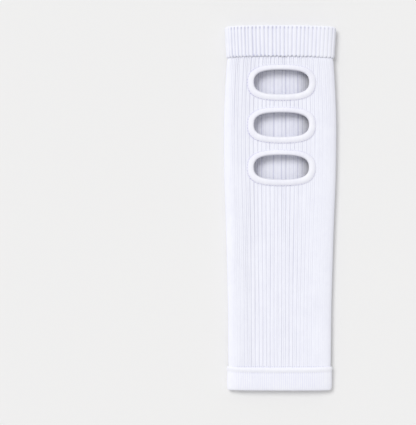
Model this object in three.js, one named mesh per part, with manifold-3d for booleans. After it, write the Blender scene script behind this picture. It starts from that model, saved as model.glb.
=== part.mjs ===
// A knitted sleeve for a forearm or calf, laid flat with its windowed face up.
// Millimetres. +Y runs to the welted end, +Z is up, and the sleeve rests on Z = 0.
import * as THREE from "three";
import { mergeVertices } from "three/addons/utils/BufferGeometryUtils.js";
import Module from "manifold-3d";

// Whole sleeve
const SLEEVE_LENGTH = 329; // from edge to edge, laid flat
const FLAT_WIDTH = 100; // widest outline, laid flat
const SEAM_GAP = 0.3; // between layers that are sewn together
const RIBS_AROUND = 50;
const COLUMNS_PER_RIB = 2;

// Body: the ribbed tube
const BODY_WALL = 1.3;
const BODY_CLEARANCE = 9.9; // height of the hollow, laid flat
const BODY_RIB_DEPTH = 0.3;

// Welt: a doubled ribbed band, turned over the body's top edge
const WELT_HEIGHT = 28.5;
const WELT_LEAF = 1.3; // outer layer, to the crests of its ribs
const WELT_LINING = 1.0; // inner layer
const WELT_LINING_SHORT = 2.5; // how far the inner layer stops above the outer one
const WELT_TURN = 1.2; // thickness over the body's edge
const WELT_CLEARANCE = 6.1;
const WELT_RIB_DEPTH = 0.45;
const WELT_BOW = 1.2; // the mouth's middle stands this far past its ends
const RIB_AT_TURN = 0.8; // share of the ribs' depth left where the welt turns over

// Hem: a doubled smooth band, turned over the body's bottom edge
const HEM_HEIGHT = 20.5;
const HEM_LEAF = 1.1;
const HEM_LINING = 1.0;
const HEM_LINING_SHORT = 2.5;
const HEM_TURN = 1.2;
const HEM_CLEARANCE = 5.5;
const HEM_BOW = 0.5;
const RIDGE_HEIGHT = 3.4; // the roll along the hem's upper edge
const RIDGE_RISE = 0.5;

// Windows: oval openings in the upper face, each with a folded binding
const WINDOW_COUNT = 3;
const WINDOW_LENGTH = 50.4; // across the sleeve
const WINDOW_HEIGHT = 22.3; // along the sleeve
const WINDOW_OFFSET = 1; // from the sleeve's centre line
const WINDOW_STEPS = 28; // facets round an oval
const OVAL_FULLNESS = 0.71; // handle length of each quarter, 0.55 for an ellipse
const BINDING_END = 6; // width at an oval's two ends
const BINDING_SIDE = 4.9; // width along its two long sides
const BINDING_LEAF = 0.9;
const BINDING_ROLL = 0.4; // extra height of the rolled inner edge
const WELT_TO_BINDING = 6.8;
const BINDING_TO_BINDING = 6.2;

// Shape of the flattened section, as shares of its height
const FOLD_RISE = 0.47; // height of the side folds
const FOLD_REACH = 0.62; // how far the lower rounding runs in
const CROWN_REACH = 1.2; // how far the upper rounding runs in
const CROWN_HANDLE = 0.95;
const ROUND_HANDLE = 0.5523;

// Sections of the sleeve. along: share of the zone, from its upper end. outline: share of FLAT_WIDTH.
// lift: share of the neighbouring band's thickness that the body is raised by.
// height: share of the body's height.
const SECTIONS = [
  { zone: "welt", along: 0.0, outline: 0.998 },
  { zone: "welt", along: 1.0, outline: 0.97 },
  { zone: "body", along: 0.01, outline: 0.957, lift: 0.95, height: 0.92 },
  { zone: "body", along: 0.08, outline: 0.976, lift: 0.4, height: 0.97 },
  { zone: "body", along: 0.2, outline: 0.997, lift: 0.0, height: 1.0 },
  { zone: "body", along: 0.38, outline: 0.995, lift: 0.0, height: 1.0 },
  { zone: "body", along: 0.78, outline: 0.932, lift: 0.0, height: 0.95 },
  { zone: "body", along: 0.99, outline: 0.921, lift: 0.9, height: 0.88 },
  { zone: "hem", along: 0.0, outline: 0.942 },
  { zone: "hem", along: 1.0, outline: 0.942 },
];

const COLUMNS = RIBS_AROUND * COLUMNS_PER_RIB;
const TOP_Y = SLEEVE_LENGTH / 2;
const HEM_START = SLEEVE_LENGTH - HEM_HEIGHT; // distance of the hem's upper edge from the top
const FREE_LENGTH = HEM_START - WELT_HEIGHT;
const WELT_STAND = SEAM_GAP + WELT_LEAF; // from the body's surface to the band's
const HEM_STAND = SEAM_GAP + HEM_LEAF;
const BODY_HEIGHT = BODY_CLEARANCE + 2 * BODY_WALL;
const WELT_INSIDE = BODY_WALL + SEAM_GAP + WELT_LINING; // from the body's surface to the lining's
const HEM_INSIDE = BODY_WALL + SEAM_GAP + HEM_LINING;

// The body's outer surface in each zone: half width, height and lift at a distance from the top edge.
const ZONES = {
  welt: (row) => ({
    station: row.along * WELT_HEIGHT,
    halfWidth: (row.outline * FLAT_WIDTH) / 2 - WELT_STAND,
    height: WELT_CLEARANCE + 2 * WELT_INSIDE,
    lift: WELT_STAND,
  }),
  body: (row) => ({
    station: WELT_HEIGHT + row.along * FREE_LENGTH,
    halfWidth: (row.outline * FLAT_WIDTH) / 2,
    height: row.height * BODY_HEIGHT,
    lift: row.lift * (row.along < 0.5 ? WELT_STAND : HEM_STAND),
  }),
  hem: (row) => ({
    station: HEM_START + row.along * HEM_HEIGHT,
    halfWidth: (row.outline * FLAT_WIDTH) / 2 - HEM_STAND,
    height: HEM_CLEARANCE + 2 * HEM_INSIDE,
    lift: HEM_STAND,
  }),
};
const SURFACE_ROWS = SECTIONS.map((row) => ZONES[row.zone](row));

// The body's section at any distance from the top edge.
function sectionAt(station) {
  const found = SURFACE_ROWS.findIndex((row) => row.station >= station);
  const next = SURFACE_ROWS[found < 0 ? SURFACE_ROWS.length - 1 : found];
  const before = SURFACE_ROWS[Math.max(0, (found < 0 ? SURFACE_ROWS.length : found) - 1)];
  const span = next.station - before.station;
  const share = span > 0 ? (station - before.station) / span : 0;
  return {
    halfWidth: THREE.MathUtils.lerp(before.halfWidth, next.halfWidth, share),
    height: THREE.MathUtils.lerp(before.height, next.height, share),
    lift: THREE.MathUtils.lerp(before.lift, next.lift, share),
  };
}

// The right-hand half of a section's upper face, from the side fold to the crown.
function crownCurve({ halfWidth, height }) {
  const foldZ = FOLD_RISE * height;
  return new THREE.CubicBezierCurve(
    new THREE.Vector2(halfWidth, foldZ),
    new THREE.Vector2(halfWidth, foldZ + CROWN_HANDLE * (height - foldZ)),
    new THREE.Vector2(halfWidth - CROWN_REACH * height, height),
    new THREE.Vector2(0, height),
  );
}

// The closed outline of a section: flat underneath, folded at the sides and crowned on top.
function sectionPath(section) {
  const { halfWidth, height } = section;
  const foldZ = FOLD_RISE * height;
  const reach = FOLD_REACH * height;
  const flatEnd = halfWidth - reach;
  const right = new THREE.CubicBezierCurve(
    new THREE.Vector2(flatEnd, 0),
    new THREE.Vector2(flatEnd + ROUND_HANDLE * reach, 0),
    new THREE.Vector2(halfWidth, foldZ * (1 - ROUND_HANDLE)),
    new THREE.Vector2(halfWidth, foldZ),
  );
  const crown = crownCurve(section);
  const mirrored = (curve) => {
    const flip = (point) => new THREE.Vector2(-point.x, point.y);
    return new THREE.CubicBezierCurve(flip(curve.v3), flip(curve.v2), flip(curve.v1), flip(curve.v0));
  };
  const path = new THREE.CurvePath();
  path.add(new THREE.LineCurve(new THREE.Vector2(0, 0), new THREE.Vector2(flatEnd, 0)));
  path.add(right);
  path.add(crown);
  path.add(mirrored(crown));
  path.add(mirrored(right));
  path.add(new THREE.LineCurve(new THREE.Vector2(-flatEnd, 0), new THREE.Vector2(0, 0)));
  return path;
}

// How far the sides lie behind the middle of a course: the knitting bows towards both ends.
function bowAt(station) {
  const share = 1 - (2 * station) / SLEEVE_LENGTH;
  return share > 0 ? WELT_BOW * share : HEM_BOW * share;
}

// How far a column lies below the ribs' crests.
function grooveAt(column, ribDepth) {
  const phase = (2 * Math.PI * column) / COLUMNS_PER_RIB;
  return (ribDepth * (1 - Math.cos(phase))) / 2;
}

// One closed ring of the sleeve. depth is measured outwards from the body's surface. Grooves
// ribDepth deep and a roll that stands out by rise are pressed flat where the sleeve rests.
function ringAt(station, depth, ribDepth = 0, rise = 0) {
  const section = sectionAt(station);
  const points = sectionPath(section).getSpacedPoints(COLUMNS).slice(0, COLUMNS);
  return points.map((point, column) => {
    const before = points[(column + COLUMNS - 1) % COLUMNS];
    const after = points[(column + 1) % COLUMNS];
    const outward = new THREE.Vector2(after.y - before.y, before.x - after.x).normalize();
    const free = THREE.MathUtils.clamp(point.y / (FOLD_RISE * section.height), 0, 1);
    const offset = depth + free * (rise - grooveAt(column, ribDepth));
    const x = point.x + outward.x * offset;
    const z = point.y + outward.y * offset + section.lift;
    const bow = bowAt(station) * (point.x / section.halfWidth) ** 2;
    return new THREE.Vector3(x, TOP_Y - station - bow, z);
  });
}

// A closed band: every ring is joined to the next, and the last to the first.
function closedBand(rings) {
  const columns = rings[0].length;
  const indices = [];
  rings.forEach((ring, row) => {
    const here = row * columns;
    const there = ((row + 1) % rings.length) * columns;
    for (let column = 0; column < columns; column += 1) {
      const next = (column + 1) % columns;
      indices.push(here + column, here + next, there + next);
      indices.push(here + column, there + next, there + column);
    }
  });
  const geometry = new THREE.BufferGeometry().setFromPoints(rings.flat());
  geometry.setIndex(indices);
  geometry.computeVertexNormals();
  return geometry;
}

const wasm = await Module();
wasm.setup();

function solidOf(geometry) {
  const plain = new THREE.BufferGeometry();
  plain.setAttribute("position", geometry.getAttribute("position"));
  plain.setIndex(geometry.getIndex());
  const merged = mergeVertices(plain);
  const vertProperties = merged.getAttribute("position").array;
  const triVerts = new Uint32Array(merged.getIndex().array);
  return new wasm.Manifold(new wasm.Mesh({ numProp: 3, vertProperties, triVerts }));
}

function geometryOf(solid) {
  const mesh = solid.getMesh();
  const geometry = new THREE.BufferGeometry();
  geometry.setAttribute("position", new THREE.BufferAttribute(mesh.vertProperties, 3));
  geometry.setIndex(new THREE.BufferAttribute(mesh.triVerts, 1));
  geometry.computeVertexNormals();
  return geometry;
}

// A window's oval, grown by a share of the binding's width.
function ovalPoints(grown) {
  const halfLength = WINDOW_LENGTH / 2 + grown * BINDING_END;
  const halfHeight = WINDOW_HEIGHT / 2 + grown * BINDING_SIDE;
  const corners = [
    [1, 0],
    [0, 1],
    [-1, 0],
    [0, -1],
  ].map(([x, y]) => new THREE.Vector2(x * halfLength, y * halfHeight));
  const steps = WINDOW_STEPS / corners.length;
  return corners.flatMap((from, index) => {
    const to = corners[(index + 1) % corners.length];
    const quarter = new THREE.CubicBezierCurve(
      from,
      from.clone().addScaledVector(to, OVAL_FULLNESS),
      to.clone().addScaledVector(from, OVAL_FULLNESS),
      to,
    );
    return quarter.getPoints(steps).slice(0, steps);
  });
}

const BINDING_POCKET = 0.25; // share of the binding's width between its opening and the body's edge
const HOLE_GROWN = BINDING_POCKET + SEAM_GAP / BINDING_SIDE;
const BINDING_STATIONS = Array.from({ length: WINDOW_COUNT }, (_, index) => {
  const bindingHeight = WINDOW_HEIGHT + 2 * BINDING_SIDE;
  const first = WELT_HEIGHT + WELT_TO_BINDING + bindingHeight / 2;
  return first + index * (bindingHeight + BINDING_TO_BINDING);
});

// Height of the body's upper face at a place seen from above.
function upperFace(x, station) {
  const section = sectionAt(station);
  const curve = crownCurve(section);
  let low = 0;
  let high = 1;
  while (high - low > 1e-6) {
    const middle = (low + high) / 2;
    if (curve.getPoint(middle).x > Math.abs(x)) low = middle;
    else high = middle;
  }
  return section.lift + curve.getPoint(low).y;
}

// The ribbed tube, with the windows cut through its upper face.
function knitBody() {
  const stations = [
    WELT_TURN + SEAM_GAP,
    ...SURFACE_ROWS.slice(1, -1).map((row) => row.station),
    SLEEVE_LENGTH - HEM_TURN - SEAM_GAP,
  ];
  const outside = stations.map((station) => ringAt(station, 0, BODY_RIB_DEPTH));
  const inside = stations.map((station) => ringAt(station, -BODY_WALL)).reverse();
  let body = solidOf(closedBand([...outside, ...inside]));
  BINDING_STATIONS.forEach((station) => {
    const outline = new THREE.Shape(ovalPoints(HOLE_GROWN));
    const cutter = new THREE.ExtrudeGeometry(outline, { depth: BODY_HEIGHT, bevelEnabled: false });
    cutter.deleteAttribute("normal");
    cutter.deleteAttribute("uv");
    const sunk = mergeVertices(cutter).translate(WINDOW_OFFSET, TOP_Y - station, BODY_HEIGHT / 2);
    body = body.subtract(solidOf(sunk));
  });
  return geometryOf(body);
}

// The profile of a doubled band, as distance from its turned edge and depth over the body.
// Its outer layer, the turn round the body's edge and its lining are one folded fabric.
function doubledProfile({ height, stand, inside, turn, liningShort, leafEdge }) {
  const turnRadius = (stand + inside) / 2;
  const middle = stand - turnRadius;
  const round = [0, 45, 90, 135, 180].map((degrees) => {
    const angle = THREE.MathUtils.degToRad(degrees);
    const along = turnRadius * (1 - Math.sin(angle));
    const rib = degrees === 0 ? RIB_AT_TURN : 0;
    return { along, depth: middle + turnRadius * Math.cos(angle), rib };
  });
  return [
    { along: height, depth: SEAM_GAP, rib: 0 },
    ...leafEdge,
    ...round,
    { along: height - liningShort, depth: -inside, rib: 0 },
    { along: height - liningShort, depth: -BODY_WALL - SEAM_GAP, rib: 0 },
    { along: turn, depth: -BODY_WALL - SEAM_GAP, rib: 0 },
    { along: turn, depth: SEAM_GAP, rib: 0 },
  ];
}

function topWelt() {
  const profile = doubledProfile({
    height: WELT_HEIGHT,
    stand: WELT_STAND,
    inside: WELT_INSIDE,
    turn: WELT_TURN,
    liningShort: WELT_LINING_SHORT,
    leafEdge: [
      { along: WELT_HEIGHT, depth: WELT_STAND - WELT_LEAF / 2, rib: 0.5 },
      { along: WELT_HEIGHT - WELT_LEAF / 2, depth: WELT_STAND, rib: 1 },
    ],
  });
  const rings = profile.map(({ along, depth, rib }) => ringAt(along, depth, rib * WELT_RIB_DEPTH));
  return closedBand(rings.reverse());
}

function hemBand() {
  const profile = doubledProfile({
    height: HEM_HEIGHT,
    stand: HEM_STAND,
    inside: HEM_INSIDE,
    turn: HEM_TURN,
    liningShort: HEM_LINING_SHORT,
    leafEdge: [
      { along: HEM_HEIGHT, depth: HEM_STAND - HEM_LEAF / 3 },
      { along: HEM_HEIGHT - RIDGE_HEIGHT / 2, depth: HEM_STAND, rise: RIDGE_RISE },
      { along: HEM_HEIGHT - RIDGE_HEIGHT, depth: HEM_STAND },
    ],
  });
  const rings = profile.map(({ along, depth, rise }) =>
    ringAt(SLEEVE_LENGTH - along, depth, 0, rise),
  );
  return closedBand(rings);
}

// A folded tape round a window: share is the place across its width, depth the height over
// the body's upper face. The body's cut edge lies in its pocket.
const BINDING_TOP = SEAM_GAP + BINDING_LEAF;
const BINDING_UNDER = -BODY_WALL - SEAM_GAP;
const BINDING_PROFILE = [
  { share: 1, depth: SEAM_GAP },
  { share: 0.92, depth: BINDING_TOP },
  { share: 0.4, depth: BINDING_TOP + BINDING_ROLL },
  { share: 0.08, depth: BINDING_TOP },
  { share: 0, depth: -BODY_WALL / 2 },
  { share: 0.1, depth: BINDING_UNDER - BINDING_LEAF },
  { share: 0.85, depth: BINDING_UNDER - BINDING_LEAF },
  { share: 0.85, depth: BINDING_UNDER },
  { share: BINDING_POCKET, depth: BINDING_UNDER },
  { share: BINDING_POCKET, depth: SEAM_GAP },
];

function windowBinding(station) {
  const rings = BINDING_PROFILE.map(({ share, depth }) =>
    ovalPoints(share).map(({ x, y }) => {
      const z = upperFace(x + WINDOW_OFFSET, station - y) + depth;
      return new THREE.Vector3(x, y, z);
    }),
  );
  return closedBand(rings);
}

const ribKnit = new THREE.MeshStandardMaterial({ color: 0xeeeef6, roughness: 0.9, metalness: 0 });
const weltKnit = new THREE.MeshStandardMaterial({ color: 0xf0f0f7, roughness: 0.9, metalness: 0 });
const hemKnit = new THREE.MeshStandardMaterial({ color: 0xf1f1f8, roughness: 0.85, metalness: 0 });
const bindingKnit = new THREE.MeshStandardMaterial({ color: 0xf4f4fa, roughness: 0.8, metalness: 0 });

function piece(name, geometry, material) {
  const mesh = new THREE.Mesh(geometry, material);
  mesh.name = name;
  return mesh;
}

const sleeve = new THREE.Group();
sleeve.add(piece("knit_body", knitBody(), ribKnit));
sleeve.add(piece("top_welt", topWelt(), weltKnit));
sleeve.add(piece("hem_band", hemBand(), hemKnit));

const bindings = new THREE.Group();
bindings.position.set(WINDOW_OFFSET, TOP_Y, 0);
BINDING_STATIONS.forEach((station, index) => {
  const binding = piece(`window_binding_${index + 1}`, windowBinding(station), bindingKnit);
  binding.position.y = -station;
  bindings.add(binding);
});
sleeve.add(bindings);

export default sleeve;
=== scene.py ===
"""A ribbed knit sleeve laid flat, its windowed face up: the knitting, the bands and the bound windows.

Every tube and tape is one panel of knitting, wrapped round a closed loop and shaped course by course.
Named lengths are in millimetres, and times MM they are metres. +Y runs to the welted end, +Z is up.
A station is a distance from the welt's turned edge, measured towards the hem.
"""
import math
from collections import namedtuple

import bpy
import numpy as np
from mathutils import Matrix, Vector
from mathutils.bvhtree import BVHTree


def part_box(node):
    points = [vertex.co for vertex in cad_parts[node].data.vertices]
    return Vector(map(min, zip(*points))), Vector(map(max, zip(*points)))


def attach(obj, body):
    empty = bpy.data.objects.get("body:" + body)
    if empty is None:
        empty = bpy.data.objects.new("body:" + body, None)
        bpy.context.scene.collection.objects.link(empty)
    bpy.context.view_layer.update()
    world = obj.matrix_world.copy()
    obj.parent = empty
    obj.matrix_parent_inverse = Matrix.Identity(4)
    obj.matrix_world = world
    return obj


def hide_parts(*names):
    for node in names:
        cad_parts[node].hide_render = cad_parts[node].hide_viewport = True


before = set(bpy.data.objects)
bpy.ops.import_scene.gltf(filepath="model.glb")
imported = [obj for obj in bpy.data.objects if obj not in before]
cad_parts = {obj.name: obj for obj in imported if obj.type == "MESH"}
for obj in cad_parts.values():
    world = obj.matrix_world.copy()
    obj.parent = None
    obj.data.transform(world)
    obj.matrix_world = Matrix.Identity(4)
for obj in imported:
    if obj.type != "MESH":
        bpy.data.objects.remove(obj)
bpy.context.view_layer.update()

MM = 0.001

# Sizes of the whole sleeve, from the frame
TOP_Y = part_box("top_welt")[1].y / MM
SLEEVE_LENGTH = TOP_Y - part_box("hem_band")[0].y / MM
FRAME_OUTLINE = 0.997  # the body's widest outline in the frame, as a share of the flat width
FOLD_FULLNESS = 1.016  # the knitting is rounder at its folds than the frame's facets
FLAT_WIDTH = 2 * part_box("knit_body")[1].x / MM * FOLD_FULLNESS / FRAME_OUTLINE
HALF_WIDTH = FLAT_WIDTH / 2

# The flattened section: a flat underside, folded sides and a crowned upper face
NOMINAL_HEIGHT = 12.5  # every course is scaled from a section of this height
FOLD_RISE = 0.47  # height of the side folds, as a share of the section's
FOLD_LOW = 0.1  # how low the lower rounding stays steep, as a share of the folds' height
UNDER_REACH = 0.1  # share of the half width that the lower rounding takes
CROWN_HANDLE = 0.88  # how high the upper rounding stays steep, from the folds to the crown
CROWN_REACH = 0.95  # how far the upper rounding runs in, in heights

# The two bands. Stands are heights over the body's surface, insides are depths under it
WELT_HEIGHT = 28.5
WELT_THICKNESS = 1.1
WELT_STAND = 1.6
WELT_INSIDE = 2.6
HEM_HEIGHT = 20.5
HEM_THICKNESS = 0.95
HEM_STAND = 1.3
HEM_TURN_STAND = 0.95  # the same at its turned edge
HEM_INSIDE = 2.6
HEM_START = SLEEVE_LENGTH - HEM_HEIGHT
FREE_LENGTH = HEM_START - WELT_HEIGHT  # of the body, between the bands
BODY_WALL = 1.3


def past_welt(share):
    """The station at a share of the free length."""
    return WELT_HEIGHT + share * FREE_LENGTH


# Sections of the body. outline: share of the flat width. lift: height of the underside over the floor
Section = namedtuple("Section", "station outline height lift")
SECTIONS = [
    Section(0.0, 0.970, 11.1, 1.75),
    Section(WELT_HEIGHT - 0.6, 0.937, 11.1, 1.76),
    Section(past_welt(0.01), 0.956, 11.3, 1.7),
    Section(past_welt(0.08), 0.981, 12.1, 0.64),
    Section(past_welt(0.20), 1.013, 12.5, 0.0),
    Section(past_welt(0.38), 1.002, 12.5, 0.0),
    Section(past_welt(0.55), 0.966, 12.1, 0.0),
    Section(past_welt(0.78), 0.929, 11.4, 0.0),
    Section(past_welt(0.99), 0.918, 9.4, 1.65),
    Section(HEM_START + 0.6, 0.913, 8.9, 1.85),
    Section(SLEEVE_LENGTH, 0.916, 7.7, 1.3),
]

# How far the sides of a course lie beside its middle, towards the hem where positive
Bow = namedtuple("Bow", "station amount")
BOWS = [
    Bow(0, 1.2), Bow(WELT_HEIGHT, 1.2), Bow(60, 0), Bow(290, 0), Bow(HEM_START, -1.2),
    Bow(SLEEVE_LENGTH, -0.3),
]
BOW_POWER = 3.0  # how late the bow sets in, from a course's middle to the folds

# One course of a panel: its place along the panel's axis, the loop's scale there and its shift
Course = namedtuple("Course", "at wide high up")

# Where something fades in: it is nothing up to start, and there in full from full on
Fade = namedtuple("Fade", "start full")


# Sums that the pieces share

def look_up(table, column, value):
    """A column of a table, between the rows whose first columns lie beside the value."""
    return np.interp(value, [row[0] for row in table], [getattr(row, column) for row in table])


def between(value, start, full):
    """0 up to start, 1 from full on, and evenly between them; full may lie below start."""
    return np.clip((value - start) / (full - start), 0, 1)


def at_least(least, share):
    """The share, raised so that it begins at a least value in place of 0."""
    return least + (1 - least) * share


def section_at(station):
    """The section at a station, between two of SECTIONS."""
    columns = ("outline", "height", "lift")
    return Section(station, *(look_up(SECTIONS, column, station) for column in columns))


def hump(distance, width):
    """1 where the distance is nothing, and almost 0 two widths away."""
    return np.exp(-((distance / width) ** 2))


# Selecting, and Blender's tools

def pick(*pieces):
    """Selects these pieces alone, the first one active."""
    if bpy.context.mode != "OBJECT":
        bpy.ops.object.mode_set(mode="OBJECT")
    bpy.ops.object.select_all(action="DESELECT")
    for piece in pieces:
        piece.select_set(True)
    bpy.context.view_layer.objects.active = pieces[0]


def select_vertices(piece, chosen):
    """Selects the vertices that an array of true and false values names, and nothing else."""
    mesh = piece.data
    mesh.polygons.foreach_set("select", np.zeros(len(mesh.polygons), dtype=bool))
    mesh.edges.foreach_set("select", np.zeros(len(mesh.edges), dtype=bool))
    mesh.vertices.foreach_set("select", chosen)


def apply_modifier(piece, kind, **settings):
    """Gives a piece one modifier and applies it."""
    pick(piece)
    modifier = piece.modifiers.new(kind.title(), kind)
    for name, value in settings.items():
        setattr(modifier, name, value)
    bpy.ops.object.modifier_apply(modifier=modifier.name)


def bring(piece, x, y, z=0):
    """Makes a piece that was modelled in millimetres its true size, and takes it to its place."""
    pick(piece)
    piece.location = (x * MM, y * MM, z * MM)
    piece.scale = (MM, MM, MM)
    bpy.ops.object.transform_apply(location=True, rotation=True, scale=True)


LEAST_WEIGHT = 1e-4  # amounts under this share of the largest move nothing


def push(piece, amounts, direction):
    """Moves each vertex by its own amount, in metres, by a painted weight and a Displace modifier."""
    amounts = np.asarray(amounts, dtype=float)
    for sign in (1, -1):
        part = np.clip(sign * amounts, 0, None)
        peak = part.max()
        if peak <= 0:
            continue
        group = piece.vertex_groups.new(name="push")
        for index in np.nonzero(part > peak * LEAST_WEIGHT)[0].tolist():
            group.add([index], float(part[index] / peak), "REPLACE")
        apply_modifier(
            piece, "DISPLACE", direction=direction, mid_level=0, strength=sign * peak, vertex_group="push"
        )
        piece.vertex_groups.remove(piece.vertex_groups["push"])


# Reading and writing a piece's values

def places(piece):
    """The vertices' places, as one array of x, y and z."""
    found = np.empty(len(piece.data.vertices) * 3, dtype=np.float32)
    piece.data.vertices.foreach_get("co", found)
    return found.reshape(-1, 3).astype(float)


def upward(piece):
    """How far each vertex faces up: 1 straight up, -1 straight down."""
    found = np.empty(len(piece.data.vertices) * 3, dtype=np.float32)
    piece.data.vertices.foreach_get("normal", found)
    return found.reshape(-1, 3)[:, 2]


def remember(piece, name, values):
    """Keeps a value for each vertex, which the piece's finish reads."""
    attribute = piece.data.attributes.get(name) or piece.data.attributes.new(name, "FLOAT", "POINT")
    attribute.data.foreach_set("value", np.asarray(values, dtype=np.float32))


def recall(piece, name):
    """The values that were kept under a name."""
    values = np.empty(len(piece.data.vertices), dtype=np.float32)
    piece.data.attributes[name].data.foreach_get("value", values)
    return values


def read_map(piece):
    """The piece's UV map: a pair for each corner of each face."""
    layer = piece.data.uv_layers.active
    found = np.empty(len(layer.data) * 2, dtype=np.float32)
    layer.data.foreach_get("uv", found)
    return found.reshape(-1, 2)


def write_map(piece, pairs):
    """Replaces the piece's UV map."""
    piece.data.uv_layers.active.data.foreach_set("uv", pairs.ravel())


def corner_vertices(piece):
    """The number of the vertex at each corner of each face."""
    found = np.empty(len(piece.data.loops), dtype=np.int32)
    piece.data.loops.foreach_get("vertex_index", found)
    return found


def knit_places(piece):
    """For each vertex: its rib count round the loop and its length along the panel, from the UV map."""
    result = np.zeros((len(piece.data.vertices), 2))
    result[corner_vertices(piece)] = read_map(piece)
    return result.T


# A panel of knitting

RIBS = 58
COLUMNS_PER_RIB = 2  # the grid's faces across a rib, or across a stitch of a tape, before smoothing
SMOOTHING = 2  # how often Subdivision Surface divides a tube's faces
ASIDE = 1000.0  # a panel's rows wait this far off, so that no course is picked twice
PICK_REACH = 0.25  # how near a row's height a vertex of that row lies
JOIN_REACH = 0.01  # how near the two ends of a wrapped panel lie
LOOP_STEPS = 64  # steps of a loop between two of its corners
LOOP_REACHES = 5  # a loop's length, in mean distances from its middle, roughly


def closed_loop(name, corners):
    """A closed curve of four corners, each given as its place and the two handles beside it."""
    bpy.ops.object.select_all(action="DESELECT")
    bpy.ops.curve.primitive_bezier_circle_add(radius=1)
    loop = bpy.context.object
    loop.name = name
    loop.data.resolution_u = LOOP_STEPS
    for point, (place, before, after) in zip(loop.data.splines[0].bezier_points, corners):
        point.handle_left_type = point.handle_right_type = "FREE"
        point.co = (*place, 0)
        point.handle_left = (*before, 0)
        point.handle_right = (*after, 0)
    return loop


def section_loop():
    """The flattened section, from the left fold over the crown to the right fold and back below."""
    wide = HALF_WIDTH
    high = NOMINAL_HEIGHT
    fold = FOLD_RISE * high
    foot = FOLD_LOW * fold
    side = fold + CROWN_HANDLE * (high - fold)
    crown = wide - CROWN_REACH * high
    under = wide * (1 - UNDER_REACH)
    return closed_loop(
        "section_loop",
        [
            ((-wide, fold), (-wide, foot), (-wide, side)),
            ((0, high), (-crown, high), (crown, high)),
            ((wide, fold), (wide, side), (wide, foot)),
            ((0, 0), (under, 0), (-under, 0)),
        ],
    )


def flat_panel(name, columns, rows, width):
    """A grid that stands aside: faces for the columns of knitting, a row of vertices for each course."""
    bpy.ops.object.select_all(action="DESELECT")
    bpy.ops.mesh.primitive_grid_add(
        x_subdivisions=columns, y_subdivisions=rows - 1, size=1, rotation=(math.pi / 2, 0, 0)
    )
    panel = bpy.context.object
    panel.name = name
    bpy.ops.object.transform_apply(location=False, rotation=True, scale=False)
    bpy.ops.object.mode_set(mode="EDIT")
    bpy.ops.mesh.select_all(action="SELECT")
    bpy.ops.transform.translate(value=(0.5, 0, 0.5))
    bpy.ops.transform.resize(value=(width, 1, rows - 1), center_override=(0, 0, 0))
    bpy.ops.transform.translate(value=(0, 0, ASIDE))
    bpy.ops.object.mode_set(mode="OBJECT")
    return panel


def close_round(panel, loop):
    """Wraps a flat panel round a loop, and joins its two ends."""
    apply_modifier(panel, "CURVE", object=loop, deform_axis="POS_X")
    bpy.ops.object.mode_set(mode="EDIT")
    bpy.ops.mesh.select_all(action="SELECT")
    bpy.ops.mesh.remove_doubles(threshold=JOIN_REACH)
    bpy.ops.mesh.normals_make_consistent(inside=False)
    bpy.ops.object.mode_set(mode="OBJECT")


def place_course(panel, row, course):
    """Scales the course that waits in a row, and takes it to its place."""
    select_vertices(panel, np.abs(places(panel)[:, 2] - ASIDE - row) < PICK_REACH)
    bpy.ops.object.mode_set(mode="EDIT")
    bpy.ops.transform.resize(value=(course.wide, course.high, 1), center_override=(0, 0, ASIDE + row))
    bpy.ops.transform.translate(value=(0, course.up, course.at - ASIDE - row))
    bpy.ops.object.mode_set(mode="OBJECT")


def measure_cloth(courses, around):
    """The length of cloth from the first course to each one, as a mean round the loop."""
    marks = [0.0]
    for before, after in zip(courses, courses[1:]):
        spread = around / LOOP_REACHES * abs(after.wide - before.wide)
        marks.append(marks[-1] + math.hypot(after.at - before.at, (after.up - before.up) + spread))
    return marks


def wrapped_panel(name, loop, columns, courses):
    """A panel of knitting, wrapped round a loop and brought to its place course by course.

    Its UV map then counts ribs round the loop, and millimetres of cloth along the panel. The cloth's
    length at each course is returned beside it.
    """
    around = loop.data.splines[0].calc_length()
    panel = flat_panel(name, columns, len(courses), around)
    close_round(panel, loop)
    for row, course in enumerate(courses):
        place_course(panel, row, course)
    bpy.data.objects.remove(loop)
    marks = measure_cloth(courses, around)
    pairs = read_map(panel)
    pairs[:, 0] *= columns / COLUMNS_PER_RIB
    pairs[:, 1] = np.interp(pairs[:, 1] * (len(courses) - 1), range(len(courses)), marks)
    write_map(panel, pairs)
    return panel, marks


def lay_down(tube):
    """Turns a tube that was made upright to lie along the sleeve."""
    tube.rotation_euler = (math.pi / 2, 0, 0)
    bring(tube, 0, TOP_Y)


def bow(tube):
    """Bends each course, so that its sides lie beside its middle."""
    x, y, _ = places(tube).T / MM
    amount = look_up(BOWS, "amount", TOP_Y - y)
    push(tube, -amount * MM * (np.abs(x) / HALF_WIDTH) ** BOW_POWER, "Y")


def sleeve_tube(name, courses, squeeze, offset=0.0):
    """A tube of ribbed knitting round the flattened section, still without its relief and its wall."""
    tube, marks = wrapped_panel(name, section_loop(), RIBS * COLUMNS_PER_RIB, courses)
    apply_modifier(tube, "SUBSURF", levels=SMOOTHING, render_levels=SMOOTHING)
    lay_down(tube)
    bow(tube)
    stray(tube, squeeze, offset)
    return tube, marks


# Chance among the ribs, drawn from one seed

GRAIN = np.random.default_rng(11)


def per_rib(low, high):
    """A chance value for each rib, the same at both ends of the panel."""
    values = GRAIN.uniform(low, high, RIBS + 1)
    values[RIBS] = values[0]
    return values


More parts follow.
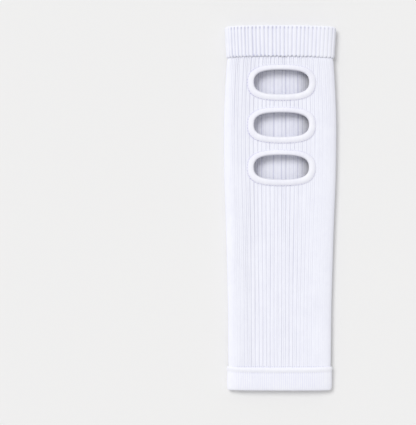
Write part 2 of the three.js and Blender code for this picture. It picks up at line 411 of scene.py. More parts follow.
RIB_NUMBERS = np.arange(RIBS + 1)
RIB_JITTER = per_rib(-0.04, 0.04)  # how far each rib is moved, in ribs
RIB_STRENGTH = per_rib(0.8, 1.05)  # of the groove beside it
FINE_STRENGTH = per_rib(0.3, 0.7)  # of the fine line along its middle
RIB_WAVE = per_rib(60, 160)  # length of the wave in which both strengths rise and fall
RIB_PHASE = per_rib(0, 2 * math.pi)
FINE_PHASE = per_rib(0, 2 * math.pi)
END_LENGTH = per_rib(-1, 1)  # how far each rib's end hangs, and how strong its groove shows inside
RIB_SWAY = 0.12  # how much a groove's strength rises and falls along it
FINE_SWAY = 0.3  # and a fine line's
WANDER = 0.05  # how far a groove strays along its length, in ribs
WANDER_STEP = 31.0  # length in which the straying turns by one radian

# Ribs of the underside that show above the left fold and crowd those beside it
WELT_SQUEEZE = 1.6
BODY_SQUEEZE = 0.4
SQUEEZE_START = 0.45  # where the crowding begins, left of the middle, in half widths
LEAN = 0.25  # how many fewer show at the welt's turned edge, so that the ribs lean there
LEAN_END = 48.0  # station at which they run straight again
BODY_OFFSET = 0.5  # how far the body's ribs are moved against the bands', in ribs


def stray(piece, squeeze, offset):
    """Moves the ribs on the piece's own UV map, so that no two are quite alike."""
    pairs = read_map(piece)
    x, y, _ = places(piece)[corner_vertices(piece)].T / MM
    station = TOP_Y - y
    ribs = pairs[:, 0].astype(float)
    moved = np.interp(ribs, RIB_NUMBERS, RIB_JITTER)
    moved += WANDER * np.sin(station / WANDER_STEP + np.interp(ribs, RIB_NUMBERS, RIB_PHASE))
    outwards = np.clip(-x / HALF_WIDTH - SQUEEZE_START, 0, 1) / (1 - SQUEEZE_START)
    moved += outwards ** 2 * (squeeze - LEAN * np.clip(1 - station / LEAN_END, 0, 1))
    pairs[:, 0] = ribs - moved + offset
    write_map(piece, pairs)


def groove_number(ribs):
    """The number of the groove nearest to each place."""
    return np.rint(ribs).astype(int) % RIBS


def swaying(station, number, phases, sway):
    """A factor that rises and falls along each rib, by its own wave."""
    turn = 2 * math.pi * station / RIB_WAVE[number] + phases[number]
    return 1 - sway + sway * np.sin(turn)


def rib_strength(ribs, station):
    """Strength of the groove nearest to each place."""
    number = groove_number(ribs)
    return RIB_STRENGTH[number] * swaying(station, number, RIB_PHASE, RIB_SWAY)


def fine_strength(ribs, station):
    """Strength of the fine line in the middle of each rib."""
    number = np.floor(ribs).astype(int) % RIBS
    return FINE_STRENGTH[number] * swaying(station, number, FINE_PHASE, FINE_SWAY)


def main_line(ribs):
    """Distance from the nearest groove, in ribs."""
    return ribs - np.rint(ribs)


def fine_line(ribs):
    """Distance from the middle of the rib, in ribs."""
    return ribs - np.floor(ribs) - 0.5


UNDERSIDE_SHARE = 0.9  # share of the relief that the weight leaves on the underside


def facing_up(z):
    """1 from the side folds up, and UNDERSIDE_SHARE at the floor."""
    return at_least(UNDERSIDE_SHARE, between(z, 0, FOLD_RISE * NOMINAL_HEIGHT))


# The windows, from the boxes of their bindings

BINDING_END = 6.5  # width of a binding at the window's ends
BINDING_TOP = 4.9  # above the window
BINDING_LOW = 6.15  # and below it
BINDING_HANG = 0.9  # how much further its lower edge reaches than the frame's
OVAL_FULLNESS = 0.745
POCKET_SHARE = 0.31  # share of the binding's width at which the body's edge lies
CUTTER_STEPS = 32
CUTTER_START = 6  # height between the sleeve's faces, from which the windows are cut upwards
CUTTER_LENGTH = 14

Window = namedtuple("Window", "node centre top half_length half_height")


def read_window(node):
    """A window and its binding: middle, upper edge and half sizes."""
    low, high = (Vector(corner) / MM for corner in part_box(node))
    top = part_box(node)[1].y / MM
    return Window(node, (low + high) / 2, top, (high.x - low.x) / 2, (high.y - low.y) / 2)


WINDOWS = [read_window(f"window_binding_{number}") for number in (1, 2, 3)]


def binding_course(window, share, rise=0):
    """A course of a binding: the opening's edge at no share of its width, its outer edge at 1."""
    inwards = ((1 - share) * (BINDING_TOP + BINDING_LOW) - BINDING_HANG) / 2
    up = ((1 - share) * (BINDING_LOW - BINDING_TOP) - BINDING_HANG) / 2
    wide = 1 - (1 - share) * BINDING_END / window.half_length
    return Course(rise, wide, 1 - inwards / window.half_height, up)


def oval_loop(window, course):
    """A window's oval, scaled as one course of its binding is."""
    half_length = window.half_length * course.wide
    half_height = window.half_height * course.high
    long_handle = OVAL_FULLNESS * half_length
    short_handle = OVAL_FULLNESS * half_height
    return closed_loop(
        "oval_loop",
        [
            ((-half_length, 0), (-half_length, -short_handle), (-half_length, short_handle)),
            ((0, half_height), (-long_handle, half_height), (long_handle, half_height)),
            ((half_length, 0), (half_length, short_handle), (half_length, -short_handle)),
            ((0, -half_height), (long_handle, -half_height), (-long_handle, -half_height)),
        ],
    )


def window_cutter(window):
    """An oval prism through the upper face alone, as large as the hole in the body."""
    edge = binding_course(window, POCKET_SHARE)
    cutter = oval_loop(window, edge)
    cutter.data.resolution_u = CUTTER_STEPS
    pick(cutter)
    bpy.ops.object.convert(target="MESH")
    cutter = bpy.context.object
    bpy.ops.object.mode_set(mode="EDIT")
    bpy.ops.mesh.select_all(action="SELECT")
    bpy.ops.mesh.edge_face_add()
    bpy.ops.mesh.extrude_region_move(TRANSFORM_OT_translate={"value": (0, 0, CUTTER_LENGTH)})
    bpy.ops.mesh.select_all(action="SELECT")
    bpy.ops.mesh.normals_make_consistent(inside=False)
    bpy.ops.object.mode_set(mode="OBJECT")
    bring(cutter, window.centre.x, window.centre.y + edge.up, CUTTER_START)
    return cutter


def cut_windows(body):
    """Cuts the three windows through the body's upper face."""
    cutters = [window_cutter(window) for window in WINDOWS]
    pick(*cutters)
    bpy.ops.object.join()
    joined = bpy.context.object
    apply_modifier(body, "BOOLEAN", operation="DIFFERENCE", object=joined, solver="MANIFOLD")
    bpy.data.objects.remove(joined)


# The body

# Stations of its courses: close together where a band grips it, and even between them
BODY_STATIONS = [
    *(1.5, 14.0, 24.5, 27.6, 28.6, 29.6, 31.0, 34.0),
    *np.linspace(43, 297, 12).tolist(),
    *(303.0, 306.2, 307.6, 308.6, 310.5, 318.0, 327.5),
]

# How far the body's surface draws in beside the bands
Waist = namedtuple("Waist", "station inset")
WAISTS = [
    Waist(27.0, 0.3), Waist(28.8, 0.35), Waist(31.0, 0.1), Waist(33.0, 0.0),
    Waist(305.5, 0.0), Waist(308.0, 0.15),
]

# Relief: depths in millimetres, and the lines' half widths in ribs
BODY_GROOVE = 0.27
MAIN_WIDTH = 0.13
BODY_FINE = 0.25
FINE_WIDTH = 0.12
EYELET_DEPTH = 0.3

# How strong the body's grooves and fine lines are across the sleeve
Side = namedtuple("Side", "x main fine")
SIDES = [
    Side(-46, 0.2, 0.2), Side(-41, 0.5, 0.8), Side(-36, 0.6, 1.0), Side(-30, 0.95, 1.2),
    Side(-22, 1.05, 0.6), Side(-8, 1.1, 0.6), Side(0, 1.1, 0.9), Side(12, 1.0, 1.0),
    Side(24, 0.6, 0.8), Side(33, 0.35, 0.5), Side(42, 0.15, 0.2), Side(46, 0.1, 0.1),
]
WINDOW_REACH = 0.3  # share by which the ribs reach further out beside the windows
BESIDE_WINDOWS = Fade(170, 70)  # stations
LEFT_FADE = Fade(-47, -43)  # x at which the lines set in beside the left fold
LEFT_GROWTH = 9  # how much further in that is beside the hem
GROWTH_FADE = Fade(120, 240)  # stations
LOWER_CALM = 0.1  # how much fainter the grooves are towards the hem
LOWER_FADE = Fade(120, 260)  # stations

# The ribs are gathered along the welt and along the windows' upper seams
PUCKER_STRENGTH = 0.3  # how much deeper the grooves are there
PUCKER_REACH = 1.3
PUCKER_FADE = Fade(23, 17)  # distances from the sleeve's middle
PUCKER_GAP = 1.7  # from a binding's edge to the middle of its gathers
WELT_GAP = 1.5  # from the welt's edge to the middle of the gathers below it
GATHER_FADE = Fade(WELT_HEIGHT + 17, WELT_HEIGHT + 7)  # stations below the welt
GATHER_FINE = 1.3  # how much stronger the fine lines are there
GATHER_CALM = 0.05  # and how much fainter the grooves

# The row of eyelets above the hem
EYELET_GAP = 1.3  # from the hem's edge to the middle of the eyelets
EYELET_REACH = 0.42
# how strong the eyelets are drawn, as painted shade in them
EYELET_STRENGTH = 1.25
EYELETS_LEFT = Fade(-44, -38)  # x
EYELETS_RIGHT = Fade(46, 30)
EYELETS_LEAST = 0.5  # their strength at the right fold

# The underside, whose inner face the windows show
INNER_VARIETY = 0.6  # how unevenly its grooves show
INNER_FINE = -0.4  # how much stronger its fine lines show; below 0, how much weaker
INNER_LINES = 1.15  # how strong the grooves of the inner face are, with their painted shade, against the outer face's

# Tones: shares of the deep tone, which darken the colour; inside the windows they are painted shade.
# Places in a window run from -1 to 1, across it and up it
LEFT_DIM = 0.03  # along the left third of the upper face
LEFT_DIM_START = Fade(-45, -41)  # x
LEFT_DIM_END = Fade(-20, -27)
UPPER_FACE = Fade(5, 8)  # heights
RIGHT_END_PAINTED_SHADE = 0.62  # painted shade at a window's right end
RIGHT_FADE = Fade(0.5, 1.05)
RIGHT_POWER = 1.6
LEFT_END_PAINTED_SHADE = 0.06  # painted shade at its left end
LEFT_END = -0.7
LEFT_END_REACH = 0.25
TOP_PAINTED_SHADE = 0.03  # painted shade over its upper half
TOP_FADE = Fade(-0.1, 0.3)
TOP_EDGE_PAINTED_SHADE = 0.22  # painted shade along its upper edge
TOP_EDGE = 1.05
TOP_EDGE_REACH = 0.12
END_FINE = 3.0  # how much stronger the fine lines are at its ends, adding painted shade there
END_FADE = Fade(0.25, 0.7)
NEAR_WINDOW = Fade(1.5, 1.2)
INNER_UPWARD = 0.3  # the inner face turns up by at least this much
INNER_HEIGHT = 5  # and lies lower than this


def body_course(station):
    """The body's course at a station, drawn in where a band grips it."""
    section = section_at(station)
    inset = look_up(WAISTS, "inset", station)
    wide = section.outline - inset / HALF_WIDTH
    return Course(station, wide, (section.height - 2 * inset) / NOMINAL_HEIGHT, section.lift + inset)


def knit_body():
    """The ribbed tube, still without its relief, its wall and its windows."""
    courses = [body_course(station) for station in BODY_STATIONS]
    body, _ = sleeve_tube("sleeve_body", courses, BODY_SQUEEZE, BODY_OFFSET)
    return body


def by_side(x, station, column):
    """Looks a column of SIDES up, with the ribs reaching further out beside the windows."""
    return look_up(SIDES, column, x * (1 - WINDOW_REACH * between(station, *BESIDE_WINDOWS)))


def puckered(x, y):
    """1 where the grooves are drawn together beside a seam."""
    seams = [TOP_Y - WELT_HEIGHT - WELT_GAP] + [window.top + PUCKER_GAP for window in WINDOWS]
    rows = sum(hump(y - seam, PUCKER_REACH) for seam in seams)
    return rows * between(np.abs(x), *PUCKER_FADE)


def eyelet_row(x, station):
    """1 along the eyelets above the hem, and less towards the folds."""
    row = hump(station - HEM_START + EYELET_GAP, EYELET_REACH)
    return row * between(x, *EYELETS_LEFT) * at_least(EYELETS_LEAST, between(x, *EYELETS_RIGHT))


def body_lines(x, y, ribs):
    """How strong the body's grooves and its fine lines are at each place."""
    station = TOP_Y - y
    clear_of_eyelets = 1 - eyelet_row(x, station)
    lines_end = LEFT_FADE.full + LEFT_GROWTH * between(station, *GROWTH_FADE)
    left = between(x, LEFT_FADE.start, lines_end)
    main = rib_strength(ribs, station) * by_side(x, station, "main") * left
    main = main * (1 - LOWER_CALM * between(station, *LOWER_FADE))
    main = main * (1 + PUCKER_STRENGTH * puckered(x, y)) * clear_of_eyelets
    fine = fine_strength(ribs, station) * by_side(x, station, "fine") * left * clear_of_eyelets
    gathered = between(station, *GATHER_FADE)
    return main * (1 - GATHER_CALM * gathered), fine * (1 + GATHER_FINE * gathered)


def rib_the_body(body):
    """Presses the body's lines and eyelets in, and keeps their strengths for its finish, which paints shade
    in them.
    """
    x, y, z = places(body).T / MM
    ribs, _ = knit_places(body)
    main, fine = body_lines(x, y, ribs)
    eyelets = eyelet_row(x, TOP_Y - y)
    fine_shape = hump(fine_line(ribs), FINE_WIDTH)
    depth = BODY_GROOVE * main * hump(main_line(ribs), MAIN_WIDTH) + BODY_FINE * fine * fine_shape
    depth += EYELET_DEPTH * eyelets * (hump(main_line(ribs), FINE_WIDTH) + fine_shape)
    underside = 1 - between(z, 0, FOLD_RISE * NOMINAL_HEIGHT)
    uneven = 1 + INNER_VARIETY * underside * END_LENGTH[groove_number(ribs)]
    left_third = between(x, *LEFT_DIM_START) * between(x, *LEFT_DIM_END) * between(z, *UPPER_FACE)
    remember(body, "main", main * uneven + EYELET_STRENGTH * eyelets)
    remember(body, "fine", fine * (1 + INNER_FINE * underside) + EYELET_STRENGTH * eyelets)
    remember(body, "dim", LEFT_DIM * left_third)
    push(body, -depth * facing_up(z) * MM, "NORMAL")


def window_tones(window, x, y):
    """Seen through one window: the share of painted shade towards its edges, and how much stronger the fine
    lines are.
    """
    opening = binding_course(window, 0)
    across = (x - window.centre.x) / (window.half_length * opening.wide)
    along = (y - window.centre.y - opening.up) / (window.half_height * opening.high)
    near = between(np.abs(along), *NEAR_WINDOW) * between(np.abs(across), *NEAR_WINDOW)
    right = RIGHT_END_PAINTED_SHADE * between(across, *RIGHT_FADE) ** RIGHT_POWER
    left = LEFT_END_PAINTED_SHADE * hump(across - LEFT_END, LEFT_END_REACH)
    top = TOP_PAINTED_SHADE * between(along, *TOP_FADE) + TOP_EDGE_PAINTED_SHADE * hump(along - TOP_EDGE, TOP_EDGE_REACH)
    return near * (right + left + top), END_FINE * near * between(np.abs(across), *END_FADE)


def tone_the_inside(body):
    """Strengthens the lines of the underside's inner face, and paints shade on it towards each window's
    edges.
    """
    x, y, z = places(body).T / MM
    inner_face = (upward(body) > INNER_UPWARD) & (z < INNER_HEIGHT)
    dim = recall(body, "dim")
    fine = recall(body, "fine")
    for window in WINDOWS:
        tone, gain = window_tones(window, x, y)
        dim = np.maximum(dim, inner_face * tone)
        fine = fine * (1 + inner_face * gain)
    remember(body, "dim", dim)
    remember(body, "fine", fine)
    remember(body, "main", recall(body, "main") * np.where(inner_face, INNER_LINES, 1))


# The welt and the hem

# A fold of a band: its distance from the turned edge, and its height over the body's surface
Fold = namedtuple("Fold", "along over")
TURN_STEPS = 6


def turned_edge(stand, inside):
    """A half turn round the body's edge, from the outside in."""
    radius = (stand + inside) / 2
    angles = [math.pi * step / TURN_STEPS for step in range(TURN_STEPS + 1)]
    return [Fold(radius * (1 - math.sin(a)), stand - radius + radius * math.cos(a)) for a in angles]


def folded_band(name, folds, station_of, squeeze):
    """One panel, folded over the body's edge: station_of turns a fold's distance into its station."""
    courses = []
    for fold in folds:
        section = section_at(station_of(fold.along))
        wide = (section.outline * HALF_WIDTH + fold.over) / HALF_WIDTH
        high = (section.height + 2 * fold.over) / NOMINAL_HEIGHT
        courses.append(Course(section.station, wide, high, section.lift - fold.over))
    return sleeve_tube(name, courses, squeeze)


# The welt's folds, from its lining round the turned edge to its lower edge
WELT_LINING = [Fold(along, -WELT_INSIDE) for along in (26.0, 19.0, 11.0, 4.5)]
WELT_LEAF = [
    *(Fold(along, WELT_STAND) for along in (3.4, 6.5, 12.0, 18.0, 23.0)),
    Fold(25.7, 1.65), Fold(27.0, 1.65), Fold(27.8, 1.35), Fold(28.2, 0.9), Fold(28.25, 0.4),
    Fold(27.9, 0.0),
]
WELT_TURN = len(WELT_LINING) + TURN_STEPS // 2  # the fold at the very edge

# Its ribs. Lengths are of cloth, measured from the turned edge
WELT_GROOVE = 0.7  # depth
WELT_MAIN_WIDTH = 0.18
GROOVE_FADE = Fade(1.0, 2.3)
LINING_FADE = Fade(-1.0, -3.0)
LINING_SHARE = 0.4  # how deep the lining's grooves are, against the leaf's
DIMPLE_DEPTH = 0.15  # each groove begins in a dimple
DIMPLE_PLACE = 2.3
DIMPLE_REACH = 1.3
# how strong the dimples are drawn, as painted shade in them
DIMPLE_TONE = 0.8
WELT_FINE = 0.12  # how strong its fine lines are drawn
WELT_LEFT = Fade(-49, -44)  # x at which its ribs set in beside the left fold
WELT_RIGHT = Fade(45, 0)
WELT_LEAST = 0.55  # their strength at the right fold

# Its lower edge: the ribs' ends hang below the grooves'
EDGE_FADE = Fade(3.6, 0.6)  # lengths from the edge
EDGE_DEPTH = 0.5  # how much deeper the grooves are there
EDGE_TONE = 0.3  # and how much stronger their painted shade is drawn there
WELT_DROP = 0.65
END_VARIETY = 0.22  # how unevenly the ribs' ends hang


def top_welt():
    """The doubled cuff over the body's upper edge."""
    folds = WELT_LINING + turned_edge(WELT_STAND, WELT_INSIDE)[::-1] + WELT_LEAF
    band, marks = folded_band("welt", folds, lambda along: along, WELT_SQUEEZE)
    x, y, z = places(band).T / MM
    ribs, length = knit_places(band)
    past_turn = length - marks[WELT_TURN]
    leaf = between(past_turn, *GROOVE_FADE)
    lining = LINING_SHARE * between(past_turn, *LINING_FADE)
    fade = between(x, *WELT_LEFT) * at_least(WELT_LEAST, between(x, *WELT_RIGHT)) * facing_up(z)
    dimples = hump(past_turn - DIMPLE_PLACE, DIMPLE_REACH) * fade
    edge = between(marks[-1] - length, *EDGE_FADE)
    main = rib_strength(ribs, TOP_Y - y) * np.maximum(leaf, lining) * fade
    shape = hump(main_line(ribs), WELT_MAIN_WIDTH)
    depth = (WELT_GROOVE * main * (1 + EDGE_DEPTH * edge) + DIMPLE_DEPTH * dimples) * shape
    drop = WELT_DROP * (0.5 - shape) + END_VARIETY * END_LENGTH[groove_number(ribs)]
    remember(band, "main", main * (1 + EDGE_TONE * edge) + DIMPLE_TONE * dimples)
    remember(band, "fine", WELT_FINE * fade * leaf)
    push(band, -depth * MM, "NORMAL")
    push(band, -drop * edge * facing_up(z) * MM, "Y")
    apply_modifier(band, "SOLIDIFY", thickness=WELT_THICKNESS * MM, offset=-1)
    return band


# The hem's folds, from under its rolled upper edge round the turned edge to its lining
HEM_LEAF = [
    Fold(21.0, -0.3), Fold(21.0, 0.25), Fold(20.85, 0.9), Fold(20.2, 1.5), Fold(19.1, 1.8),
    Fold(17.9, 1.65), Fold(17.1, 1.4), Fold(16.0, 1.15), Fold(14.0, 1.3), Fold(9.5, HEM_STAND),
    Fold(5.2, 1.32), Fold(3.2, 1.2),
]
HEM_LINING = [Fold(along, -HEM_INSIDE) for along in (5.0, 11.0, 18.0)]

# Folds, counted from 0
ROLL_FOOT = 6  # where the roll ends
HEM_SEAM = 7  # where the hem is sewn down
TURN_START = len(HEM_LEAF) - 2  # the folds between which its ribs grow fainter
TURN_END = len(HEM_LEAF) + 1

# Its ribs, fine and faint
HEM_FINE = 0.1  # depth
HEM_FINE_TONE = 0.8
HEM_LEFT = Fade(-46, -36)  # x
HEM_RIGHT = Fade(46, 30)
HEM_LEAST = 0.4  # their strength at the right fold
TURN_LEAST = 0.5  # and past the turned edge
ROLL_FADE = Fade(-0.6, 0.8)  # lengths from the roll's foot
ROLL_DIM = 0.03  # share of the deep tone on the roll

# Its seam, pressed in, with painted shade in its grooves that shows in patches
SEAM_DEPTH = 0.14
SEAM_REACH = 0.9
SEAM_LEAST = 0.6  # strength of the ribs away from the seam
PATCH_MEAN = 0.75
PATCH_SWAY = 0.35
PATCH_STEP = 7.3
PATCH_PHASE = 1.1
PATCH_FINE_STEP = 2.9


def hem_band():
    """The doubled band over the body's lower edge, with a roll along its upper edge."""
    folds = HEM_LEAF + turned_edge(HEM_TURN_STAND, HEM_INSIDE) + HEM_LINING
    band, marks = folded_band("hem", folds, lambda along: SLEEVE_LENGTH - along, BODY_SQUEEZE)
    x, y, z = places(band).T / MM
    ribs, length = knit_places(band)
    below_roll = between(length - marks[ROLL_FOOT], *ROLL_FADE)
    before_turn = between(length, marks[TURN_END], marks[TURN_START])
    fade = between(x, *HEM_LEFT) * at_least(HEM_LEAST, between(x, *HEM_RIGHT)) * facing_up(z)
    patches = PATCH_MEAN + PATCH_SWAY * np.sin(x / PATCH_STEP + PATCH_PHASE) * np.sin(x / PATCH_FINE_STEP)
    seam = hump(length - marks[HEM_SEAM], SEAM_REACH) * patches
    main = fade * below_roll * at_least(TURN_LEAST, before_turn) * at_least(SEAM_LEAST, seam)
    shape = np.maximum(hump(main_line(ribs), FINE_WIDTH), hump(fine_line(ribs), FINE_WIDTH))
    remember(band, "main", main * rib_strength(ribs, TOP_Y - y))
    remember(band, "fine", main * HEM_FINE_TONE)
    remember(band, "dim", ROLL_DIM * (1 - below_roll))
    push(band, -(HEM_FINE * main + SEAM_DEPTH * seam * fade) * shape * MM, "NORMAL")
    apply_modifier(band, "SOLIDIFY", thickness=HEM_THICKNESS * MM, offset=-1)
    return band


# The window bindings

STITCHES = 60  # round one window
STITCH_STRENGTH = GRAIN.uniform(0.5, 1.3, STITCHES)
TAPE_SMOOTHING = 1
TAPE_THICKNESS = 0.8

# A fold of a tape: share of its width from the opening, and height over the body's surface
TapeFold = namedtuple("TapeFold", "share rise")
TAPE_FOLDS = [
    TapeFold(0.995, -0.5), TapeFold(1.0, -0.1), TapeFold(0.985, 0.2), TapeFold(0.94, 0.35),
    TapeFold(0.84, 0.6), TapeFold(0.7, 1.0), TapeFold(0.54, 1.25), TapeFold(0.37, 1.35),
    TapeFold(0.2, 1.25), TapeFold(0.08, 0.8), TapeFold(0.0, -0.1), TapeFold(0.0, -1.2),
    TapeFold(0.07, -2.4), TapeFold(0.26, -3.2), TapeFold(0.55, -3.4), TapeFold(0.85, -3.4),
]

WHOLE_OVAL = Course(at=0, wide=1, high=1, up=0)  # as large as the tape, which its folds are scaled from

# Folds, counted from 0: the one that is sewn down, and how far the painted shades beside it reach
TAPE_SEAM = 2
CLOSE_SHADE = Fade(5, 3)
WIDE_SHADE = Fade(6, 4)

# The seam's row of stitches, pressed in, with painted shade drawn between the stitches
TAPE_SEAM_REACH = 0.6
TAPE_SEAM_DEPTH = 0.3
STITCH_HALF_WIDTH = 0.25  # in stitches
SEAM_TONE = 1.1  # how strong the painted shade between the stitches is drawn
LOWER_TONE = 0.8  # and by how much stronger below, on the left and on the right
LEFT_TONE = 0.4
RIGHT_TONE = -0.7
TAPE_FINE = 0.25  # how strong the lines between them are drawn

# Sides of a window, as distances from its middle, and the share of painted shade there
LOWER_SIDE = Fade(4, -10)
UPPER_SIDE = Fade(5, 11)
LEFT_SIDE = Fade(-19, -26)
RIGHT_SIDE = Fade(19, 26)
UPPER_PAINTED_SHADE = 0.05
WIDE_PAINTED_SHADE = 0.08
CLOSE_PAINTED_SHADE = 0.16
RIGHT_SHARE = 0.6  # of the wide painted shade, on the right

RAY_START = 1  # metres over the floor


def surface_heights(piece, surface):
    """Height of the body's upper face below or above each vertex of a piece."""
    down = Vector((0, 0, -1))
    return [surface.ray_cast(Vector((x, y, RAY_START)), down)[0].z for x, y, _ in places(piece)]


def tape_tones(window, tape, marks):
    """How strong a tape's painted shade between its stitches is drawn round it, and the share of painted
    shade on it.
    """
    x, y, _ = places(tape).T / MM
    _, length = knit_places(tape)
    lower = between(y - window.centre.y, *LOWER_SIDE)
    upper = between(y - window.centre.y, *UPPER_SIDE)
    left = between(x - window.centre.x, *LEFT_SIDE)
    right = between(x - window.centre.x, *RIGHT_SIDE)
    wide = WIDE_PAINTED_SHADE * between(length, marks[WIDE_SHADE.start], marks[WIDE_SHADE.full])
    close = CLOSE_PAINTED_SHADE * between(length, marks[CLOSE_SHADE.start], marks[CLOSE_SHADE.full])
    # Painted shade beside the seam: the wide one below and on the right, the close one on the left
    painted_shade_beside_seam = np.maximum(wide * np.maximum(lower, RIGHT_SHARE * right), close * left)
    stitches = SEAM_TONE + LOWER_TONE * lower + LEFT_TONE * left + RIGHT_TONE * right
    return stitches, UPPER_PAINTED_SHADE * upper + painted_shade_beside_seam


def window_tape(number, window, surface):
    """The folded tape that binds a window, sewn down along its outer edge."""
    courses = [binding_course(window, fold.share, fold.rise) for fold in TAPE_FOLDS]
    loop = oval_loop(window, WHOLE_OVAL)
    tape, marks = wrapped_panel(f"window_tape_{number}", loop, STITCHES * COLUMNS_PER_RIB, courses)
    apply_modifier(tape, "SUBSURF", levels=TAPE_SMOOTHING, render_levels=TAPE_SMOOTHING)
    bring(tape, window.centre.x, window.centre.y)
    push(tape, surface_heights(tape, surface), "Z")
    stitches, length = knit_places(tape)
    strength = STITCH_STRENGTH[np.rint(stitches).astype(int) % STITCHES]
    seam = hump(length - marks[TAPE_SEAM], TAPE_SEAM_REACH) * strength
    drawn, dim = tape_tones(window, tape, marks)
    remember(tape, "main", drawn * seam)
    remember(tape, "fine", TAPE_FINE * seam)
    remember(tape, "dim", dim)
    depth = TAPE_SEAM_DEPTH * seam * hump(main_line(stitches), STITCH_HALF_WIDTH)
    push(tape, -depth * MM, "NORMAL")
    apply_modifier(tape, "SOLIDIFY", thickness=TAPE_THICKNESS * MM, offset=-1)
    return tape


STITCH_LINE = 1.02  # where the stitches lie, as a share of the tape's width
STITCH_SIZE = (1.5, 0.4, 0.32)  # along the seam, across it and up
STITCH_LIFT = 0.05


def one_stitch(name, pitch):
    """One long bead of thread, in the middle of the first stitch's place."""
    bpy.ops.object.select_all(action="DESELECT")
    bpy.ops.mesh.primitive_uv_sphere_add(segments=8, ring_count=6, radius=0.5, rotation=(0, math.pi / 2, 0))
    stitch = bpy.context.object
    stitch.name = name
    bpy.ops.object.transform_apply(location=True, rotation=True, scale=True)
    bpy.ops.object.mode_set(mode="EDIT")
    bpy.ops.mesh.select_all(action="SELECT")
    bpy.ops.transform.resize(value=STITCH_SIZE)
    bpy.ops.transform.translate(value=(pitch / 2, 0, STITCH_LIFT))
    bpy.ops.object.mode_set(mode="OBJECT")
    return stitch


def seam_stitches(number, window, surface):
    """One stitch, repeated round a tape's outer edge and laid on the body."""
    edge = binding_course(window, STITCH_LINE)
    loop = oval_loop(window, edge)
    pitch = loop.data.splines[0].calc_length() / STITCHES
    stitches = one_stitch(f"seam_stitches_{number}", pitch)
    apply_modifier(
        stitches,
        "ARRAY",
        count=STITCHES,
        use_relative_offset=False,
        use_constant_offset=True,
        constant_offset_displace=(pitch, 0, 0),
    )
    apply_modifier(stitches, "CURVE", object=loop, deform_axis="POS_X")
    bpy.data.objects.remove(loop)
    bring(stitches, window.centre.x, window.centre.y + edge.up)
    push(stitches, surface_heights(stitches, surface), "Z")
    return stitches


# Finishes

WALES_PER_RIB = 4
COURSES_PER_MM = 1.4
COURSE_RELIEF = 0.5  # how high the courses stand, against the wales
LOOP_RELIEF = 0.03  # depths in millimetres
FUZZ_RELIEF = 0.05
BUMP_STRENGTH = 0.8
ROUGHNESS = 0.9

# Noises on Object coordinates, and the shares that two of them have in the darkening, as tone that differs
# at random
Noise = namedtuple("Noise", "scale detail")
FUZZ = Noise(2400, 2)
PATCHES = Noise(520, 3)
PATCH_TONE = 0.35
PATCH_STRETCH = (1, 0.3, 1)  # the patches are long along the sleeve
CLOUDS = Noise(60, 2)
CLOUD_TONE = 0.4
SHADE_RANGE = Fade(0.3, 1.6)  # where the crest's colour turns into the groove's

# A knitting's colours: on its ribs, in its grooves as painted shade, and the deep tone that its dim mixes
# in;
# its lines' half widths in ribs, and the depth of their relief in millimetres
Knit = namedtuple("Knit", "name crest groove deep main_width fine_width relief")
# Deep tones that the dim mixes in: painted shade inside the windows and on the tapes, and a darker tone on
# the hem's roll and along the left third of the body's upper face
DEEP_GREY = (0.13, 0.125, 0.1)
PAINTED_SHADE_LAVENDER = (0.3, 0.29, 0.6)
RIB_KNIT = Knit("rib_knit", (0.914, 0.922, 1.0), (0.70, 0.705, 0.835), DEEP_GREY, 0.11, 0.09, 0.3)
WELT_KNIT = Knit("welt_knit", (0.915, 0.922, 0.99), (0.67, 0.68, 0.83), DEEP_GREY, 0.17, 0.10, 0.3)
HEM_KNIT = Knit("hem_knit", (0.935, 0.94, 1.0), (0.71, 0.715, 0.90), DEEP_GREY, 0.13, 0.13, 0.15)
TAPE_KNIT = Knit("binding_knit", (0.937, 0.939, 1.0), (0.55, 0.54, 0.75), PAINTED_SHADE_LAVENDER, 0.24, 0.16, 0.1)

# Sockets of a Mix node that mixes colours
FIRST_COLOUR = 6
SECOND_COLOUR = 7
MIXED_COLOUR = 2


def add(tree, kind, inputs=None, **settings):
    """Adds a node, sets its properties, and links or sets its inputs."""
    node = tree.nodes.new(kind)
    for name, value in settings.items():
        setattr(node, name, value)
    for name, value in (inputs or {}).items():
        if isinstance(value, bpy.types.NodeSocket):
            tree.links.new(value, node.inputs[name])
        else:
            node.inputs[name].default_value = value
    return node


def compute(tree, operation, *values):
    """The result of a Math node."""
    return add(tree, "ShaderNodeMath", dict(enumerate(values)), operation=operation).outputs[0]


def kept_value(tree, name):
    """What remember kept on the piece under a name, or 0 where it kept nothing."""
    return add(tree, "ShaderNodeAttribute", attribute_name=name).outputs["Fac"]


def noise(tree, place, kind):
    """A noise, from 0 to 1."""
    node = add(tree, "ShaderNodeTexNoise", {"Vector": place, "Scale": kind.scale, "Detail": kind.detail})
    return node.outputs["Fac"]


def mixed(tree, share, first, second):
    """Two colours mixed, by the second one's share."""
    inputs = {"Factor": share, FIRST_COLOUR: first, SECOND_COLOUR: (*second, 1)}
    return add(tree, "ShaderNodeMix", inputs, data_type="RGBA").outputs[MIXED_COLOUR]


def line_node(tree, distance, width, strength):
    """A soft line: strength where the distance is nothing, and almost none two widths away."""
    share = compute(tree, "DIVIDE", distance, width)
    falling = compute(tree, "MULTIPLY", compute(tree, "MULTIPLY", share, share), -1)
    return compute(tree, "MULTIPLY", compute(tree, "EXPONENT", falling), strength)


def rib_lines(tree, ribs, knit):
    """The lines in the grooves and along the ribs, as strong as the piece's values say: painted shade in
    the colour, pressed in by the bump.
    """
    from_main = compute(tree, "SUBTRACT", ribs, compute(tree, "ROUND", ribs))
    from_fine = compute(tree, "SUBTRACT", compute(tree, "FRACT", ribs), 0.5)
    main = line_node(tree, from_main, knit.main_width, kept_value(tree, "main"))
    fine = line_node(tree, from_fine, knit.fine_width, kept_value(tree, "fine"))
    return compute(tree, "ADD", main, fine)


